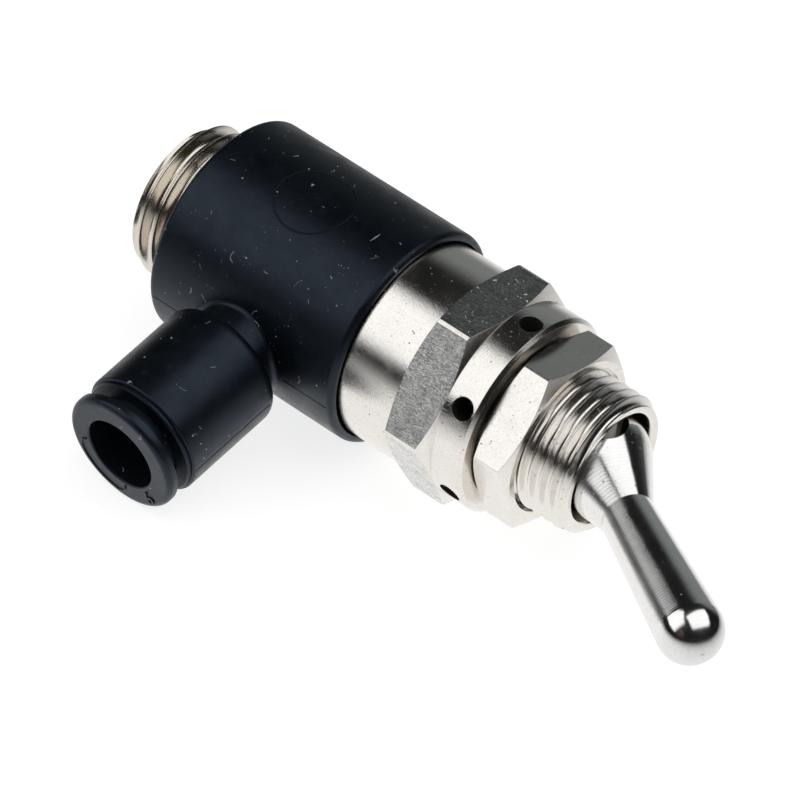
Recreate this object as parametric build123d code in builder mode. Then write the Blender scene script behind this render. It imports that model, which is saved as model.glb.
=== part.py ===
"""Hand lever air valve: a 3/2 toggle valve with a swivelling push-in elbow and a panel thread.

Frame: +X runs along the main axis towards the lever, +Z is up (square to a flat of the hexagon and
along the lever's pin), and the origin is on the main axis in the back face of the polymer housing,
the face that seats on the port. All sizes are in millimetres.
"""

import os
from math import asin, cos, pi, radians, sin

from build123d import *

# ---- driving dimensions -------------------------------------------------------------------------

# Port thread G1/4 and the long brass valve body
PORT_THREAD_R = 6.58
PORT_END_X = -4.8
PORT_BORE_R = 4.1
JOURNAL_R = 6.8
NECK_R = 8.5
HEX_FLATS = 17.0
HEX_TRIM_R = 9.72
HEX_X = (24.15, 28.25)
HEX_CHAMFER = 0.55
COLLAR_FRONT_X = 31.25
COLLAR_CHAMFER = 0.3
VENT_X = 29.85
VENT_R = 0.95
VENT_COUNT = 6
PORT_CHAMFER = 0.6
PORT_RELIEF_X = (-0.85, -0.2)
PORT_RELIEF_R = 5.75
SEAL_LAND_R = 6.5

# Bores of the valve body
SPOOL_BORE_R = 3.0
SPOOL_BORE_X = (5.15, 17.25)
SPOOL_BORE_LEAD = 0.12
GALLERY_X = (7.05, 11.45)
GALLERY_R = 5.9
BRANCH_X = 9.25
FEED_HOLE_R = 1.2
FEED_HOLE_COUNT = 4
BUSHING_POCKET_X = 23.75

# Polymer housing and its branch
HOUSING_R = 9.33
HOUSING_X = 18.95
HOUSING_BORE_R = 6.85
HOUSING_FILLET = 0.5
LIP_FILLET = 0.5
RECESS_R = 8.7
RECESS_X = 17.6
REAR_POCKET_R = 7.9
REAR_POCKET_X = 2.65
BRANCH_R = 5.36
BRANCH_END = 20.25
BRANCH_DROOP = 12.6
BRANCH_NECK_R = 4.0
BRANCH_ROOT_FILLET = 0.45
BRANCH_SHOULDER = 10.5
SHOULDER_FILLET = 1.0
TUBE_CHANNEL_R = 2.4
TUBE_STOP = 9.8
TUBE_SEAT_R = 3.1
SEAL_POCKET = 12.3
CARTRIDGE_R = 4.4

# Push-in cartridge, measured along the branch from the main axis
TUBE_R = 3.0
TUBE_SEAL_WIRE_R = 0.66
SPACER_END = 14.4
GRIP_END = 15.1
GRIP_THICKNESS = 0.25
GRIP_TEETH = 12
SLEEVE_START = 15.4
END_RING_R = 5.1
END_RING_FACE = 20.6
SLEEVE_BORE_R = 3.85
COLLET_NOSE = 16.6
COLLET_NECK_R = 3.78
COLLET_BORE_R = 3.2
COLLET_FLANGE_R = 5.2
COLLET_FLANGE_BACK = 21.9
COLLET_FACE = 22.8
COLLET_SLOTS = 4

# Panel bushing M12 x 1 and its nut
PANEL_THREAD_R = 6.0
BUSHING_X = (23.85, 39.35)
BUSHING_CHAMFER = 0.5
BUSHING_BORE_R = 4.1
BUSHING_GROOVE_X = (28.75, 30.95)
BUSHING_GROOVE_R = 5.2
GUIDE_X = (30.95, 32.45)
GUIDE_R = 2.55
MOUTH_R = 4.75
NUT_X = (31.45, 34.85)
NUT_FLATS = 14.0
NUT_TRIM_R = 8.03
NUT_CHAMFER = 0.5
NUT_BORE_R = 6.03
NUT_TURN = 52.4

# Lever, pin and cam
PIVOT_X = 37.75
LEVER_TILT = 30.0
LEVER_THROW = 60.0
HEAD_R = 4.3
CONE_HALF_ANGLE = 20.4
WAIST_S = 6.6
TIP_S = 19.55
TIP_R = 2.67
PIN_R = 1.1
PIN_HOLE_R = 1.15
PIN_SINK_R = 2.0
PIN_SINK_DEPTH = 1.6
PIN_HALF = 5.3
CAM_RATIO = 1.5
HEEL_DEPTH = 2.2
CAM_GAP = 0.06

# Plunger, spool, spring
PLUNGER_HEAD_R = 4.2
PLUNGER_HEAD_T = 1.1
PLUNGER_SHANK_R = 2.5
PLUNGER_BACK_X = 23.25
PLUNGER_NOSE_R = 1.2
PLUNGER_NOSE_X = 20.65
SPOOL_LAND_R = 2.85
SPOOL_WAIST_R = 2.0
SPOOL_HOLE_R = 1.0
SPOOL_FLANGE_R = 3.6
SPOOL_FLANGE_X = (3.85, 4.55)
SPOOL_STUB_R = 2.2
SPOOL_STUB_X = 2.65
SEAL_GROOVE_R = 1.85
SEAL_WIRE_R = 0.56
SUPPLY_SEAL_X = 6.15
GUIDE_SEAL_X = 13.45
EXHAUST_SEAL_X = 18.15
SPRING_SEAT_X = (-3.35, -2.75)
SPRING_R = 2.9
SPRING_WIRE_R = 0.32
SPRING_TURNS = 4
CIRCLIP_X = (-4.15, -3.35)

# Housing seals and clip
BANJO_SEAL_X = (4.4, 14.5)
BANJO_GROOVE_R = 5.7
BANJO_GROOVE_HALF = 0.8
BANJO_SEAL_WIRE_R = 0.56
CLIP_X = (1.9, 2.6)
CLIP_R = (6.12, 7.6)
PORT_SEAL_X = (-0.15, 1.6)
PORT_SEAL_R = (6.52, 7.75)

# ---- derived planes and axes --------------------------------------------------------------------

branch_dir = Vector(0, -cos(radians(BRANCH_DROOP)), -sin(radians(BRANCH_DROOP)))
branch_origin = Vector(BRANCH_X, 0, 0)
branch_plane = Plane(origin=branch_origin, x_dir=branch_dir, z_dir=(1, 0, 0))
branch_axis = Axis(branch_origin, branch_dir)
lever_dir = Vector(cos(radians(LEVER_TILT)), -sin(radians(LEVER_TILT)), 0)
lever_plane = Plane(origin=(PIVOT_X, 0, 0), x_dir=lever_dir, z_dir=(0, 0, 1))
lever_axis = Axis((PIVOT_X, 0, 0), lever_dir)
plunger_face_x = PIVOT_X - HEEL_DEPTH - CAM_GAP


def across(x):
    """The plane square to the main axis at x, with Y to its right."""
    return Plane(origin=(x, 0, 0), x_dir=(0, 1, 0), z_dir=(1, 0, 0))


def branch_at(distance):
    """The plane square to the branch, at a distance from the main axis."""
    return Plane(origin=branch_origin + branch_dir * distance, x_dir=(1, 0, 0), z_dir=branch_dir)


def finish(part, name):
    """Label a finished piece and write its STEP file."""
    part.label = name
    export_step(part, f"parts/{name}.step")


os.makedirs("parts", exist_ok=True)

# ---- valve body: port thread, journal, neck, hexagon and vented collar in one turned bar --------

with BuildPart() as valve_body:
    with BuildSketch(Plane.XY):
        with BuildLine():
            Polyline(
                (PORT_END_X, 0),
                (PORT_END_X, PORT_THREAD_R - PORT_CHAMFER),
                (PORT_END_X + PORT_CHAMFER, PORT_THREAD_R),
                (PORT_RELIEF_X[0], PORT_THREAD_R),
                (PORT_RELIEF_X[0], PORT_RELIEF_R),
                (PORT_RELIEF_X[1], PORT_RELIEF_R),
                (PORT_RELIEF_X[1], SEAL_LAND_R),
                (CLIP_X[0] - 0.2, SEAL_LAND_R),
                (CLIP_X[0] - 0.2, JOURNAL_R),
                (RECESS_X + 0.05, JOURNAL_R),
                (RECESS_X + 0.05, NECK_R),
                (HEX_X[0], NECK_R),
                (HEX_X[0] + HEX_CHAMFER, HEX_TRIM_R),
                (HEX_X[1] - HEX_CHAMFER, HEX_TRIM_R),
                (HEX_X[1], NECK_R),
                (COLLAR_FRONT_X - COLLAR_CHAMFER, NECK_R),
                (COLLAR_FRONT_X, NECK_R - COLLAR_CHAMFER),
                (COLLAR_FRONT_X, 0),
                close=True,
            )
        make_face()
    revolve(axis=Axis.X)
    # the hexagon: everything outside its flats is milled away
    with BuildSketch(across(HEX_X[0])):
        Circle(HEX_TRIM_R + 1)
        RegularPolygon(HEX_FLATS / 2, 6, major_radius=False, rotation=0, mode=Mode.SUBTRACT)
    extrude(amount=HEX_X[1] - HEX_X[0], mode=Mode.SUBTRACT)
    # stepped bore: outlet chamber, spool bore with lead-in cones, exhaust chamber, bushing pocket
    with BuildSketch(Plane.XY):
        with BuildLine():
            Polyline(
                (PORT_END_X, 0),
                (PORT_END_X, PORT_BORE_R),
                (SPOOL_BORE_X[0], PORT_BORE_R),
                (SPOOL_BORE_X[0], SPOOL_BORE_R + SPOOL_BORE_LEAD),
                (SPOOL_BORE_X[0] + SPOOL_BORE_LEAD, SPOOL_BORE_R),
                (SPOOL_BORE_X[1] - SPOOL_BORE_LEAD, SPOOL_BORE_R),
                (SPOOL_BORE_X[1], SPOOL_BORE_R + SPOOL_BORE_LEAD),
                (SPOOL_BORE_X[1], PORT_BORE_R),
                (BUSHING_POCKET_X, PORT_BORE_R),
                (BUSHING_POCKET_X, PANEL_THREAD_R),
                (COLLAR_FRONT_X, PANEL_THREAD_R),
                (COLLAR_FRONT_X, 0),
                close=True,
            )
        make_face()
    revolve(axis=Axis.X, mode=Mode.SUBTRACT)
    # turned grooves: feed gallery, two seal grooves and the housing clip on the journal
    for groove_x, groove_r in (
        (GALLERY_X, GALLERY_R),
        ((BANJO_SEAL_X[0] - BANJO_GROOVE_HALF, BANJO_SEAL_X[0] + BANJO_GROOVE_HALF), BANJO_GROOVE_R),
        ((BANJO_SEAL_X[1] - BANJO_GROOVE_HALF, BANJO_SEAL_X[1] + BANJO_GROOVE_HALF), BANJO_GROOVE_R),
        (CLIP_X, CLIP_R[0]),
    ):
        with BuildSketch(across(groove_x[0])):
            Circle(JOURNAL_R + 0.5)
            Circle(groove_r, mode=Mode.SUBTRACT)
        extrude(amount=groove_x[1] - groove_x[0], mode=Mode.SUBTRACT)
    # circlip groove in the port bore
    with BuildSketch(across(CIRCLIP_X[0])):
        Circle(PORT_BORE_R + 0.5)
    extrude(amount=CIRCLIP_X[1] - CIRCLIP_X[0], mode=Mode.SUBTRACT)
    # radial feed holes and exhaust vents
    for hole_x, hole_r, count, first in (
        (BRANCH_X, FEED_HOLE_R, FEED_HOLE_COUNT, 45),
        (VENT_X, VENT_R, VENT_COUNT, 90),
    ):
        for k in range(count):
            turn = radians(first + 360 / count * k)
            out = Vector(0, cos(turn), sin(turn))
            with BuildSketch(Plane(origin=(hole_x, 0, 0), x_dir=(1, 0, 0), z_dir=out)):
                Circle(hole_r)
            extrude(amount=NECK_R + 1, mode=Mode.SUBTRACT)
finish(valve_body.part, "valve_body")

# ---- panel bushing: carries the lever, screwed into the collar ----------------------------------

with BuildPart() as panel_bushing:
    with BuildSketch(Plane.XY):
        with BuildLine():
            Polyline(
                (BUSHING_X[0], BUSHING_BORE_R),
                (BUSHING_X[0], PANEL_THREAD_R - BUSHING_CHAMFER),
                (BUSHING_X[0] + BUSHING_CHAMFER, PANEL_THREAD_R),
                (BUSHING_GROOVE_X[0], PANEL_THREAD_R),
                (BUSHING_GROOVE_X[0], BUSHING_GROOVE_R),
                (BUSHING_GROOVE_X[1], BUSHING_GROOVE_R),
                (BUSHING_GROOVE_X[1], PANEL_THREAD_R),
                (BUSHING_X[1] - BUSHING_CHAMFER, PANEL_THREAD_R),
                (BUSHING_X[1], PANEL_THREAD_R - BUSHING_CHAMFER),
                (BUSHING_X[1], MOUTH_R + 0.15),
                (BUSHING_X[1] - 0.15, MOUTH_R),
                (GUIDE_X[1], MOUTH_R),
                (GUIDE_X[1], GUIDE_R),
                (GUIDE_X[0], GUIDE_R),
                (GUIDE_X[0], BUSHING_BORE_R),
                close=True,
            )
        make_face()
    revolve(axis=Axis.X)
    for k in range(VENT_COUNT):
        turn = radians(90 + 360 / VENT_COUNT * k)
        out = Vector(0, cos(turn), sin(turn))
        with BuildSketch(Plane(origin=(VENT_X, 0, 0), x_dir=(1, 0, 0), z_dir=out)):
            Circle(VENT_R)
        extrude(amount=PANEL_THREAD_R + 1, mode=Mode.SUBTRACT)
    # pin hole: right through the lower wall, blind in the upper one
    with BuildSketch(Plane.XY.offset(PIN_HALF)):
        with Locations((PIVOT_X, 0)):
            Circle(PIN_R)
    extrude(amount=-PIN_HALF - PANEL_THREAD_R - 1, mode=Mode.SUBTRACT)
finish(panel_bushing.part, "panel_bushing")

# ---- panel nut ----------------------------------------------------------------------------------

with BuildPart() as panel_nut:
    with BuildSketch(Plane.XY):
        with BuildLine():
            Polyline(
                (NUT_X[0], NUT_BORE_R + 0.3),
                (NUT_X[0], NUT_FLATS / 2 - 0.1),
                (NUT_X[0] + NUT_CHAMFER, NUT_TRIM_R),
                (NUT_X[1] - NUT_CHAMFER, NUT_TRIM_R),
                (NUT_X[1], NUT_FLATS / 2 - 0.1),
                (NUT_X[1], NUT_BORE_R + 0.3),
                (NUT_X[1] - 0.3, NUT_BORE_R),
                (NUT_X[0] + 0.3, NUT_BORE_R),
                close=True,
            )
        make_face()
    revolve(axis=Axis.X)
    with BuildSketch(across(NUT_X[0])):
        RegularPolygon(NUT_FLATS / 2, 6, major_radius=False, rotation=NUT_TURN - 60)
    extrude(amount=NUT_X[1] - NUT_X[0], mode=Mode.INTERSECT)
finish(panel_nut.part, "panel_nut")

# ---- lever: ball head with a cam heel, cone, tapered stem and round tip -------------------------

cone = radians(CONE_HALF_ANGLE)
waist_r = (HEAD_R - WAIST_S * sin(cone)) / cos(cone)
with BuildPart() as lever:
    with BuildSketch(lever_plane):
        with BuildLine():
            tangent_point = (HEAD_R * sin(cone), HEAD_R * cos(cone))
            shoulder = (-HEAD_R * sin(pi / 4), HEAD_R * cos(pi / 4))
            ThreePointArc((-HEAD_R, 0), shoulder, tangent_point)
            Line(tangent_point, (WAIST_S, waist_r))
            Line((WAIST_S, waist_r), (TIP_S, TIP_R))
            ThreePointArc((TIP_S, TIP_R), (TIP_S + TIP_R * sin(pi / 4), TIP_R * cos(pi / 4)), (TIP_S + TIP_R, 0))
            Line((TIP_S + TIP_R, 0), (-HEAD_R, 0))
        make_face()
    revolve(axis=lever_axis)
    # heel: a flat at rest, then an involute that pushes the plunger in step with the lever's turn
    heel = []
    for k in range(7):
        turn = radians(LEVER_THROW) * k / 6
        depth = HEEL_DEPTH + CAM_RATIO * turn
        heel.append(
            (
                PIVOT_X - depth * cos(turn) + CAM_RATIO * sin(turn),
                depth * sin(turn) + CAM_RATIO * cos(turn),
            )
        )
    throw = radians(LEVER_THROW)
    heel_end = (heel[-1][0] + 3 * sin(throw), heel[-1][1] + 3 * cos(throw))
    outside = HEAD_R + 3
    with BuildSketch(Plane.XY.offset(-outside)):
        with BuildLine():
            Line((heel[0][0], -outside), heel[0])
            Spline(*heel, tangents=[(0, 1), (sin(throw), cos(throw))])
            Polyline(
                heel[-1],
                heel_end,
                (heel_end[0], outside),
                (PIVOT_X - outside, outside),
                (PIVOT_X - outside, -outside),
                (heel[0][0], -outside),
            )
        make_face()
    extrude(amount=2 * outside, mode=Mode.SUBTRACT)
    # cross hole for the pin, countersunk from both sides so that the ball can rock on it
    ball_top = HEAD_R * cos(asin(PIN_SINK_R / HEAD_R))
    slope = (PIN_SINK_R - PIN_HOLE_R) / PIN_SINK_DEPTH
    rim_r = PIN_SINK_R + slope * (outside - ball_top)
    with BuildSketch(Plane(origin=(PIVOT_X, 0, 0), x_dir=(1, 0, 0), z_dir=(0, -1, 0))):
        with BuildLine():
            Polyline(
                (0, -outside),
                (rim_r, -outside),
                (PIN_HOLE_R, -ball_top + PIN_SINK_DEPTH),
                (PIN_HOLE_R, ball_top - PIN_SINK_DEPTH),
                (rim_r, outside),
                (0, outside),
                close=True,
            )
        make_face()
    revolve(axis=Axis((PIVOT_X, 0, 0), (0, 0, 1)), mode=Mode.SUBTRACT)
finish(lever.part, "lever")

with BuildPart() as lever_pin:
    with BuildSketch(Plane.XY.offset(-PIN_HALF)):
        with Locations((PIVOT_X, 0)):
            Circle(PIN_R)
    extrude(amount=2 * PIN_HALF)
    chamfer(lever_pin.edges().filter_by(GeomType.CIRCLE), 0.15)
finish(lever_pin.part, "lever_pin")

# ---- plunger and spool --------------------------------------------------------------------------

with BuildPart() as plunger:
    with BuildSketch(Plane.XY):
        with BuildLine():
            Polyline(
                (PLUNGER_NOSE_X, 0),
                (PLUNGER_NOSE_X, PLUNGER_NOSE_R),
                (PLUNGER_BACK_X, PLUNGER_NOSE_R),
                (PLUNGER_BACK_X, PLUNGER_SHANK_R),
                (plunger_face_x - PLUNGER_HEAD_T, PLUNGER_SHANK_R),
                (plunger_face_x - PLUNGER_HEAD_T, PLUNGER_HEAD_R),
                (plunger_face_x - 0.2, PLUNGER_HEAD_R),
                (plunger_face_x, PLUNGER_HEAD_R - 0.2),
                (plunger_face_x, 0),
                close=True,
            )
        make_face()
    revolve(axis=Axis.X)
finish(plunger.part, "plunger")

groove_half = SEAL_WIRE_R + 0.06
with BuildPart() as spool:
    with BuildSketch(Plane.XY):
        with BuildLine():
            Polyline(
                (SPOOL_STUB_X, 0),
                (SPOOL_STUB_X, SPOOL_STUB_R - 0.2),
                (SPOOL_STUB_X + 0.2, SPOOL_STUB_R),
                (SPOOL_FLANGE_X[0], SPOOL_STUB_R),
                (SPOOL_FLANGE_X[0], SPOOL_FLANGE_R),
                (SPOOL_FLANGE_X[1], SPOOL_FLANGE_R),
                (SPOOL_FLANGE_X[1], SPOOL_LAND_R - 0.3),
                (SUPPLY_SEAL_X - groove_half, SPOOL_LAND_R - 0.3),
                (SUPPLY_SEAL_X - groove_half, SEAL_GROOVE_R),
                (SUPPLY_SEAL_X + groove_half, SEAL_GROOVE_R),
                (SUPPLY_SEAL_X + groove_half, SPOOL_LAND_R),
                (SUPPLY_SEAL_X + groove_half + 0.6, SPOOL_LAND_R),
                (SUPPLY_SEAL_X + groove_half + 1.0, SPOOL_WAIST_R),
                (GUIDE_SEAL_X - groove_half - 1.0, SPOOL_WAIST_R),
                (GUIDE_SEAL_X - groove_half - 0.6, SPOOL_LAND_R),
                (GUIDE_SEAL_X - groove_half, SPOOL_LAND_R),
                (GUIDE_SEAL_X - groove_half, SEAL_GROOVE_R),
                (GUIDE_SEAL_X + groove_half, SEAL_GROOVE_R),
                (GUIDE_SEAL_X + groove_half, SPOOL_LAND_R),
                (GUIDE_SEAL_X + groove_half + 0.6, SPOOL_LAND_R),
                (GUIDE_SEAL_X + groove_half + 0.6, SPOOL_WAIST_R),
                (EXHAUST_SEAL_X - groove_half - 0.4, SPOOL_WAIST_R),
                (EXHAUST_SEAL_X - groove_half - 0.4, SPOOL_LAND_R - 0.2),
                (EXHAUST_SEAL_X - groove_half, SPOOL_LAND_R - 0.2),
                (EXHAUST_SEAL_X - groove_half, SEAL_GROOVE_R),
                (EXHAUST_SEAL_X + groove_half, SEAL_GROOVE_R),
                (EXHAUST_SEAL_X + groove_half, SPOOL_LAND_R - 0.2),
                (PLUNGER_BACK_X, SPOOL_LAND_R - 0.2),
                (PLUNGER_BACK_X, PLUNGER_NOSE_R + 0.02),
                (PLUNGER_NOSE_X - 0.1, PLUNGER_NOSE_R + 0.02),
                (PLUNGER_NOSE_X - 0.1, 0),
                close=True,
            )
        make_face()
    revolve(axis=Axis.X)
    # exhaust passage: from the outlet end to two cross holes behind the guide seal
    exhaust_x = (GUIDE_SEAL_X + EXHAUST_SEAL_X) / 2
    with BuildSketch(across(SPOOL_STUB_X)):
        Circle(SPOOL_HOLE_R)
    extrude(amount=exhaust_x + 0.8 - SPOOL_STUB_X, mode=Mode.SUBTRACT)
    for out in ((0, 1, 0), (0, 0, 1)):
        with BuildSketch(Plane(origin=(exhaust_x, 0, 0), x_dir=(1, 0, 0), z_dir=out)):
            Circle(0.65)
        extrude(amount=SPOOL_BORE_R, both=True, mode=Mode.SUBTRACT)
finish(spool.part, "spool")

# ---- O-rings on the spool and on the journal ----------------------------------------------------


def o_ring(x, inner_r, wire_r, name):
    """An O-ring round the main axis whose inside stands on a groove floor of inner_r."""
    with BuildPart() as ring:
        with BuildSketch(Plane.XY):
            with Locations((x, inner_r + wire_r)):
                Circle(wire_r)
        revolve(axis=Axis.X)
    finish(ring.part, name)


o_ring(SUPPLY_SEAL_X, SEAL_GROOVE_R, SEAL_WIRE_R, "supply_seal")
o_ring(GUIDE_SEAL_X, SEAL_GROOVE_R, SEAL_WIRE_R, "spool_guide_seal")
o_ring(EXHAUST_SEAL_X, SEAL_GROOVE_R, SEAL_WIRE_R, "exhaust_seal")
o_ring(BANJO_SEAL_X[0], BANJO_GROOVE_R, BANJO_SEAL_WIRE_R, "housing_seal_rear")
o_ring(BANJO_SEAL_X[1], BANJO_GROOVE_R, BANJO_SEAL_WIRE_R, "housing_seal_front")

# ---- return spring, its seat and the circlip that holds them in the port bore -------------------

spring_span = SPOOL_FLANGE_X[0] - SPRING_SEAT_X[1] - 2 * SPRING_WIRE_R - 0.04
with BuildPart() as return_spring:
    start = SPRING_SEAT_X[1] + SPRING_WIRE_R + 0.02
    with BuildLine():
        coil = Helix(
            pitch=spring_span / SPRING_TURNS,
            height=spring_span,
            radius=SPRING_R,
            center=(start, 0, 0),
            direction=(1, 0, 0),
        )
    with BuildSketch(Plane(origin=coil @ 0, z_dir=coil % 0)):
        Circle(SPRING_WIRE_R)
    sweep(path=coil, is_frenet=True)
finish(return_spring.part, "return_spring")

with BuildPart() as spring_seat:
    with BuildSketch(across(SPRING_SEAT_X[0])):
        Circle(PORT_BORE_R - 0.1)
        Circle(2.1, mode=Mode.SUBTRACT)
    extrude(amount=SPRING_SEAT_X[1] - SPRING_SEAT_X[0])
finish(spring_seat.part, "spring_seat")

with BuildPart() as port_circlip:
    with BuildSketch(across(CIRCLIP_X[0] + 0.02)):
        Circle(PORT_BORE_R + 0.42)
        Circle(PORT_BORE_R - 0.55, mode=Mode.SUBTRACT)
        with Locations((0, -PORT_BORE_R)):
            Rectangle(2.6, 2.4, mode=Mode.SUBTRACT)
        for side in (-1, 1):
            with Locations((side * 2.0, -PORT_BORE_R + 0.95)):
                Circle(0.75)
                Circle(0.35, mode=Mode.SUBTRACT)
    extrude(amount=CIRCLIP_X[1] - CIRCLIP_X[0] - 0.04)
finish(port_circlip.part, "port_circlip")

# ---- polymer housing with the push-in branch ----------------------------------------------------

with BuildPart() as housing:
    with BuildSketch(across(0)):
        Circle(HOUSING_R)
    extrude(amount=HOUSING_X)
    barrel_rims = housing.edges().filter_by(GeomType.CIRCLE).sort_by(Axis.X)
    fillet(barrel_rims[0], HOUSING_FILLET)
    fillet(housing.edges().filter_by(GeomType.CIRCLE).sort_by(Axis.X)[-1], LIP_FILLET)
    # a short neck grows out of the barrel with a soft saddle and carries the round-shouldered sleeve
    with BuildSketch(branch_at(HOUSING_R * 0.3)):
        Circle(BRANCH_NECK_R)
    extrude(amount=BRANCH_SHOULDER - HOUSING_R * 0.3)
    fillet(housing.edges().filter_by(GeomType.BSPLINE), BRANCH_ROOT_FILLET)
    with BuildSketch(branch_at(BRANCH_SHOULDER)):
        Circle(BRANCH_R)
    extrude(amount=BRANCH_END - BRANCH_SHOULDER)
    shoulder_rim = housing.edges().filter_by(GeomType.CIRCLE).filter_by(lambda e: abs(e.radius - BRANCH_R) < 1e-6)
    fillet(shoulder_rim.sort_by(branch_axis)[0], SHOULDER_FILLET)
    fillet(housing.edges().filter_by(GeomType.CIRCLE).sort_by(branch_axis)[-1], 0.2)
    # bores along the main axis: rear pocket, journal bore, front recess round the neck
    for pocket_x, depth, pocket_r in (
        (0, REAR_POCKET_X, REAR_POCKET_R),
        (0, HOUSING_X, HOUSING_BORE_R),
        (RECESS_X, HOUSING_X - RECESS_X, RECESS_R),
    ):
        with BuildSketch(across(pocket_x)):
            Circle(pocket_r)
        extrude(amount=depth, mode=Mode.SUBTRACT)
    # bores along the branch: air channel, tube seat, cartridge pocket
    for start, end, bore_r in (
        (0, TUBE_STOP + 0.1, TUBE_CHANNEL_R),
        (TUBE_STOP, SEAL_POCKET + 0.1, TUBE_SEAT_R),
        (SEAL_POCKET, BRANCH_END, CARTRIDGE_R),
    ):
        with BuildSketch(branch_at(start)):
            Circle(bore_r)
        extrude(amount=end - start, mode=Mode.SUBTRACT)
finish(housing.part, "housing")

with BuildPart() as housing_clip:
    with BuildSketch(across(CLIP_X[0] + 0.02)):
        Circle(CLIP_R[1])
        Circle(CLIP_R[0] + 0.02, mode=Mode.SUBTRACT)
        with Locations((0, CLIP_R[1])):
            Rectangle(5.0, 4.5, mode=Mode.SUBTRACT)
    extrude(amount=CLIP_X[1] - CLIP_X[0] - 0.04)
finish(housing_clip.part, "housing_clip")

with BuildPart() as port_seal:
    with BuildSketch(across(PORT_SEAL_X[0])):
        Circle(PORT_SEAL_R[1])
        Circle(PORT_SEAL_R[0], mode=Mode.SUBTRACT)
    extrude(amount=PORT_SEAL_X[1] - PORT_SEAL_X[0])
    fillet(port_seal.edges().group_by(Axis.X)[0].sort_by(SortBy.LENGTH)[-1], 0.3)
finish(port_seal.part, "port_seal")

# ---- push-in cartridge along the branch ---------------------------------------------------------


def branch_turned(points, name):
    """A ring round the branch axis from (distance, radius) points."""
    with BuildPart() as ring:
        with BuildSketch(branch_plane):
            with BuildLine():
                Polyline(*points, close=True)
            make_face()
        revolve(axis=branch_axis)
    finish(ring.part, name)


with BuildPart() as tube_seal:
    with BuildSketch(branch_plane):
        with Locations((SEAL_POCKET + TUBE_SEAL_WIRE_R + 0.02, CARTRIDGE_R - TUBE_SEAL_WIRE_R - 0.02)):
            Circle(TUBE_SEAL_WIRE_R)
    revolve(axis=branch_axis)
finish(tube_seal.part, "tube_seal")

branch_turned(
    (
        (SEAL_POCKET + 2 * TUBE_SEAL_WIRE_R + 0.1, CARTRIDGE_R - 0.02),
        (SPACER_END, CARTRIDGE_R - 0.02),
        (SPACER_END, TUBE_R + 1.0),
        (SEAL_POCKET + 2 * TUBE_SEAL_WIRE_R + 0.1, TUBE_R + 0.45),
    ),
    "seal_spacer",
)

with BuildPart() as gripping_ring:
    with BuildSketch(branch_plane):
        with BuildLine():
            Polyline(
                (SPACER_END + 0.02, CARTRIDGE_R - 0.02),
                (SPACER_END + 0.02 + GRIP_THICKNESS, CARTRIDGE_R - 0.02),
                (SPACER_END + 0.02 + GRIP_THICKNESS, TUBE_R + 0.9),
                (SPACER_END - 0.35, TUBE_R + 0.05),
                (SPACER_END - 0.55, TUBE_R + 0.2),
                (SPACER_END + 0.02, TUBE_R + 0.8),
                close=True,
            )
        make_face()
    revolve(axis=branch_axis)
    # radial slots part the inner edge into spring teeth
    with BuildSketch(branch_at(SPACER_END - 1)):
        with PolarLocations(TUBE_R + 0.3, GRIP_TEETH):
            Rectangle(1.1, 0.3)
    extrude(amount=2, mode=Mode.SUBTRACT)
finish(gripping_ring.part, "gripping_ring")

branch_turned(
    (
        (SPACER_END + 0.04 + GRIP_THICKNESS, CARTRIDGE_R),
        (BRANCH_END, CARTRIDGE_R),
        (BRANCH_END, END_RING_R),
        (END_RING_FACE - 0.12, END_RING_R),
        (END_RING_FACE, END_RING_R - 0.12),
        (END_RING_FACE, SLEEVE_BORE_R),
        (SPACER_END + 0.04 + GRIP_THICKNESS, SLEEVE_BORE_R),
    ),
    "end_ring",
)

with BuildPart() as release_collet:
    with BuildSketch(branch_plane):
        with BuildLine():
            Polyline(
                (COLLET_NOSE, COLLET_BORE_R),
                (COLLET_NOSE, COLLET_BORE_R + 0.25),
                (COLLET_NOSE + 0.5, COLLET_NECK_R),
                (COLLET_FLANGE_BACK, COLLET_NECK_R),
                (COLLET_FLANGE_BACK, COLLET_FLANGE_R),
                (COLLET_FACE, COLLET_FLANGE_R),
                (COLLET_FACE, COLLET_BORE_R),
                close=True,
            )
        make_face()
    revolve(axis=branch_axis)
    face_rims = release_collet.edges().filter_by(GeomType.CIRCLE).group_by(branch_axis)[-1].sort_by(SortBy.LENGTH)
    fillet(face_rims[-1], 0.5)
    fillet(face_rims[0], 0.15)
    # slots that let the nose give
    with BuildSketch(branch_at(COLLET_NOSE - 0.5)):
        with PolarLocations(0, COLLET_SLOTS):
            Rectangle(2 * COLLET_FLANGE_R, 0.5)
    extrude(amount=3.0, mode=Mode.SUBTRACT)
finish(release_collet.part, "release_collet")
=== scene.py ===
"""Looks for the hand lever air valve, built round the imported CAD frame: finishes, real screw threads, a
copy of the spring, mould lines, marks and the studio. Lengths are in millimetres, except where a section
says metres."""

import math
from collections import namedtuple
from math import cos, pi, radians, sin

import bmesh
import bpy
from mathutils import Matrix, Vector


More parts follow.
